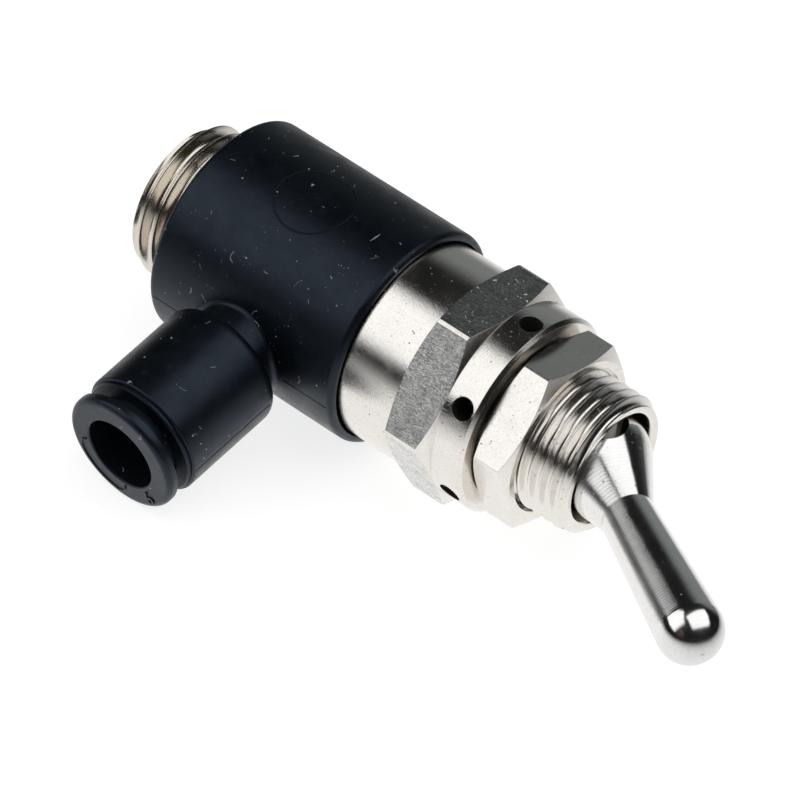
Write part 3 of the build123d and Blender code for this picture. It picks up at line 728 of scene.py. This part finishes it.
def bead(name, path, width, height, body, closed=False, finish=mat_line, slot="black_polymer"):
    """A low ridge along (place, outward) pairs."""
    section = [(-0.5, -0.5), (-0.3, 0.75), (0.0, 1.0), (0.3, 0.75), (0.5, -0.5)]
    bm = bmesh.new()
    rows = []
    for k, (place, outward) in enumerate(path):
        before = path[k - 1][0] if closed or k else place
        after = path[(k + 1) % len(path)][0] if closed or k + 1 < len(path) else place
        across = outward.cross(after - before).normalized()
        row = [place + across * (width * u) + outward * (height * v) for u, v in section]
        rows.append([bm.verts.new(point * MM) for point in row])
    pairs = list(zip(rows, rows[1:]))
    if closed:
        pairs.append((rows[-1], rows[0]))
    for a, b in pairs:
        for k in range(len(section)):
            bm.faces.new((a[k], a[k - 1], b[k - 1], b[k]))
    if not closed:
        bm.faces.new(rows[0])
        bm.faces.new(rows[-1][::-1])
    bmesh.ops.recalc_face_normals(bm, faces=bm.faces)
    mesh = mesh_from(bm, name)
    mesh.shade_smooth()
    add_object(name, mesh, body=body, material=finish)


def on_barrel(x, angle):
    outward = Vector((0, cos(angle), sin(angle)))
    return Vector((x, 0, 0)) + outward * HOUSING_R, outward


def on_sleeve(along, outward):
    return BRANCH_START + BRANCH_OUT * along + outward * BRANCH_R, outward


def on_collet(r, degrees):
    around = Vector((1, 0, 0)) * cos(radians(degrees)) + BRANCH_UP * sin(radians(degrees))
    return BRANCH_START + BRANCH_OUT * COLLET_FACE + around * r, BRANCH_OUT


def add_numeral(name, text, place, outward, upward):
    """A raised numeral that stands on a face at this place."""
    curve = bpy.data.curves.new(name, "FONT")
    curve.body = text
    curve.align_x = "CENTER"
    curve.align_y = "CENTER"
    curve.size = 1.7
    curve.extrude = 0.10
    curve.offset = 0.02
    holder = bpy.data.objects.new(name, curve)
    scene.collection.objects.link(holder)
    bpy.context.view_layer.update()
    mesh = bpy.data.meshes.new_from_object(holder.evaluated_get(bpy.context.evaluated_depsgraph_get()))
    bpy.data.objects.remove(holder)
    turn = Matrix((upward.cross(outward), upward, outward)).transposed().to_4x4()
    mesh.transform(Matrix.Scale(MM, 4) @ Matrix.Translation(place) @ turn)
    add_object(name, mesh, body="collet", material=mat_collet)


# the barrel's line lies on the branch's side and stops at the fillets, the sleeve's just below its middle
for name, low, high in (("seam_rear", 0.55, 4.45), ("seam_front", 14.05, HOUSING_X - 0.55)):
    bead(name, [on_barrel(x, pi + BRANCH_DROOP) for x in spread(low, high, 6)], **SEAM)
for name, side in (("seam_sleeve_front", 1), ("seam_sleeve_rear", -1)):
    sideways = Vector((side, 0, 0)) * math.sqrt(BRANCH_R**2 - SEAM_DROP**2)
    outward = (sideways - BRANCH_UP * SEAM_DROP) / BRANCH_R
    bead(name, [on_sleeve(along, outward) for along in spread(11.5, 20.0, 6)], **SEAM)

circle = [2 * pi * k / ROUND_STEPS for k in range(ROUND_STEPS)]
circle = [on_barrel(ROUND_X + ROUND_R * cos(a), ROUND_ANGLE + ROUND_R * sin(a) / HOUSING_R) for a in circle]
bead("round", circle, 0.20, 0.05, "elbow", closed=True)

arc = [on_collet(r, degrees) for r, degrees in ((3.6, -168), (4.1, -165), (4.38, -158))]
arc += [on_collet(ARC_R, degrees) for degrees in spread(-150, -95, 14)]
arc += [on_collet(r, degrees) for r, degrees in ((4.30, -90), (4.0, -86), (3.55, -85))]
bead("collet_arc", arc, 0.20, 0.10, "collet", finish=mat_collet, slot="collet_polymer")

# the size of the tube, with the top of the numeral towards the middle of the face
place, outward = on_collet(NUMERAL_R, -48)
inward = (BRANCH_START + BRANCH_OUT * COLLET_FACE - place).normalized()
add_numeral("tube_size", "6", place, outward, inward)


# ---- studio, in metres: white floor, white world, two softboxes and a black tent -----------------

STUDIO_MIDDLE = Vector((0.022, -0.002, 0))
FLOOR_HALF = 2.0
FLOOR_GAP = 0.00004
FLOOR_LIGHT_POOL_MIDDLE = (0.022, -0.004, 0)
FLOOR_LIGHT_POOL_REACH = 0.4
# painted pool of light that reflections see on the floor, between its bright middle and the reach: (share of
# the reach, level)
FLOOR_LIGHT_POOL_LEVELS = ((0.12, 0.80), (0.20, 0.52), (0.32, 0.36), (0.5, 0.26))
LAMP_STRENGTH = 1.2
LAMP_DISTANCE = 0.7
# corners of the softboxes as shares of their distance
KEY_CORNERS = ((-0.60, -0.38), (0.52, -0.38), (0.45, 0.45), (-0.42, 0.62))
TOP_CORNERS = ((-0.17, -0.26), (0.72, -0.72), (1.5, 0.80), (0.12, 1.05))
TENT_R = 1.3


def add_floor():
    """A table top, white with the object's shadow to the camera; to reflections it shows a painted pool of
    light, fading outward.
    """
    bm = bmesh.new()
    bmesh.ops.create_grid(bm, x_segments=1, y_segments=1, size=FLOOR_HALF)
    made, t, surface = bare_material("white_table_painted_light_pool")
    floor = add_object("floor", mesh_from(bm, "floor"), material=made)
    floor.location.z = cad_box[0].z - FLOOR_GAP
    # painted light: to reflections the floor glows brightest near the object and fades outward
    from_spot = t.vector_math("SUBTRACT", t.node("TexCoord").outputs["Object"], FLOOR_LIGHT_POOL_MIDDLE)
    away = t.vector_math("LENGTH", from_spot, output="Value")
    painted_light_pool = t.node("ValToRGB")
    t.link(t.times(away, 1 / FLOOR_LIGHT_POOL_REACH), painted_light_pool.inputs["Fac"])
    near, far = painted_light_pool.color_ramp.elements
    near.position = 0.06
    near.color = (1, 0.99, 0.98, 1)
    far.position = 1.0
    far.color = (0.16, 0.165, 0.17, 1)
    for share, level in FLOOR_LIGHT_POOL_LEVELS:
        painted_light_pool.color_ramp.elements.new(share).color = (level, level, level, 1)
    path = t.node("LightPath")
    seen = t.node("AddShader")
    t.link(t.emission((1, 1, 1, 1), 0.80), seen.inputs[0])
    t.link(t.diffuse(0.45), seen.inputs[1])
    indirect = t.mix_shader(path.outputs["Is Glossy Ray"], t.diffuse(0.85), t.emission(painted_light_pool.outputs["Color"]))
    t.link(t.mix_shader(path.outputs["Is Camera Ray"], indirect, seen.outputs[0]), surface)


def add_world():
    """White to the camera and in reflections, a soft bluish fill light on matt surfaces."""
    world = bpy.data.worlds.new("world")
    scene.world = world
    world.use_nodes = True
    t = Tree(world.node_tree)
    white = t.node("Background")
    white.inputs["Color"].default_value = (1, 1, 1, 1)
    ambient = t.node("Background")
    ambient.inputs["Color"].default_value = (0.92, 0.96, 1.0, 1)
    ambient.inputs["Strength"].default_value = 0.30
    path = t.node("LightPath")
    show = t.most(path.outputs["Is Camera Ray"], path.outputs["Is Glossy Ray"])
    show = t.most(show, path.outputs["Is Transmission Ray"])
    both = t.mix_shader(show, ambient.outputs[0], white.outputs[0])
    t.link(both, t.node("OutputWorld").inputs["Surface"])


def add_softbox(name, corners):
    """A flat white lamp with these corners, not seen by the camera."""
    made, t, surface = bare_material(name)
    t.link(t.emission((1, 1, 1, 1), LAMP_STRENGTH), surface)
    mesh = bpy.data.meshes.new(name)
    mesh.from_pydata(corners, [], [tuple(range(len(corners)))])
    lamp = add_object(name, mesh, material=made)
    lamp.visible_camera = False
    lamp.visible_shadow = False


def add_tent():
    """A black tent that only reflections see, with a soft grey patch behind the object and a faint warm one
    in front of it."""
    bm = bmesh.new()
    bmesh.ops.create_uvsphere(bm, u_segments=48, v_segments=24, radius=TENT_R)
    made, t, surface = bare_material("tent")
    tent = add_object("tent", mesh_from(bm, "tent"), material=made)
    tent.data.shade_smooth()
    tent.location = STUDIO_MIDDLE
    for rays in ("camera", "diffuse", "transmission", "volume_scatter", "shadow"):
        setattr(tent, "visible_" + rays, False)
    unit = t.vector_math("NORMALIZE", t.node("TexCoord").outputs["Object"])

    def lobe(towards, inner, outer):
        """1 within inner degrees of a direction, 0 beyond outer degrees."""
        facing = t.vector_math("DOT_PRODUCT", unit, towards, "Value")
        return t.ramp(facing, cos(radians(outer)), cos(radians(inner)))

    colour = t.mix(lobe(direction(112, 4), 14, 40), (0.012, 0.012, 0.012), (0.20, 0.215, 0.215))
    colour = t.mix(lobe(direction(-86, 20), 4, 14), colour, (0.07, 0.04, 0.035))
    t.link(t.emission(colour), surface)


add_floor()
add_world()
# the key softbox stands to the camera's left, the other hangs overhead
key_ahead = direction(-133, 38)
key_side = Vector((0, 0, 1)).cross(key_ahead).normalized()
key_up = key_ahead.cross(key_side)
key_corners = [key_ahead + key_side * u + key_up * v for u, v in KEY_CORNERS]
add_softbox("softbox_key", [STUDIO_MIDDLE + corner * LAMP_DISTANCE for corner in key_corners])
add_softbox("softbox_top", [STUDIO_MIDDLE + Vector((x, y, 1)) * LAMP_DISTANCE for x, y in TOP_CORNERS])
add_tent()

scene.view_settings.view_transform = "Standard"
